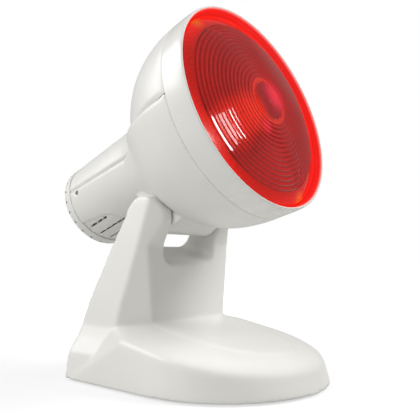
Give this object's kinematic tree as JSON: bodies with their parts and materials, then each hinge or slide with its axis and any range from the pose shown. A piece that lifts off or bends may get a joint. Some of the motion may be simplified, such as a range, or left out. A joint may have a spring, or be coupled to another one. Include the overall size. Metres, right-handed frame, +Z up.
{
  "type": "infrared heat therapy lamp",
  "caption": "Desktop infrared heat lamp with a red reflector bulb in a tilting bell-shaped head carried by a forked stand on a rounded foot.",
  "frame": {"origin": "on the ground plane, straight below the tilt axis, at the middle of the lamp's width and depth", "axes": "+Z up, +Y towards the back of the lamp, +X across it along the tilt axis"},
  "size_m": [0.1284, 0.1902, 0.2199],
  "materials": {
    "shell_plastic": "fine satin",
    "trim_plastic": "satin",
    "plate_plastic": "matte",
    "rubber": "matte",
    "ballast_steel": "cast, painted",
    "steel": "zinc plated",
    "aluminium": "polished sheet",
    "porcelain": "glazed",
    "brass": "bright",
    "red_glass": "moulded red glass",
    "mirror_glass": "silvered glass",
    "clear_glass": "clear glass and wire",
    "tungsten": "drawn wire",
    "black_glass": "glossy"
  },
  "bodies": {
    "base": {"base_shell": "shell_plastic", "fork_cover": "trim_plastic", "bottom_plate": "plate_plastic", "ballast": "ballast_steel", "feet": "rubber", "base_screws": "steel", "cover_screws": "steel", "cord_gland": "trim_plastic", "terminal_block": "trim_plastic", "friction_washers": "rubber", "spring_washers": "steel"},
    "head": {"pivot_bolts": "steel", "pivot_nuts": "steel", "head_lower": "shell_plastic", "head_upper": "shell_plastic", "front_collar": "trim_plastic", "heat_shield": "aluminium", "neck_cap": "trim_plastic", "neck_screws": "steel", "holder_bracket": "steel", "holder_screws": "steel", "holder_body": "porcelain", "holder_shell": "brass", "holder_contact": "brass", "thermal_fuse": "steel"},
    "bulb": {"bulb_lens": "red_glass", "bulb_reflector": "mirror_glass", "bulb_cap": "brass", "bulb_insulator": "black_glass", "bulb_contact": "steel", "bulb_filament": "tungsten", "bulb_supports": "clear_glass"}
  },
  "joints": [
    {"name": "head_tilt", "type": "hinge", "parent": "base", "child": "head", "pos_m": [0, 0, 0.0955], "axis": [1, 0, 0], "range_deg": [-20, 20]},
    {"name": "bulb_turn", "type": "hinge", "parent": "head", "child": "bulb", "pos_m": [0, 0.03703, 0.12993], "axis": [0, -0.9583, 0.2857], "range_deg": [0, 1080]}
  ]
}
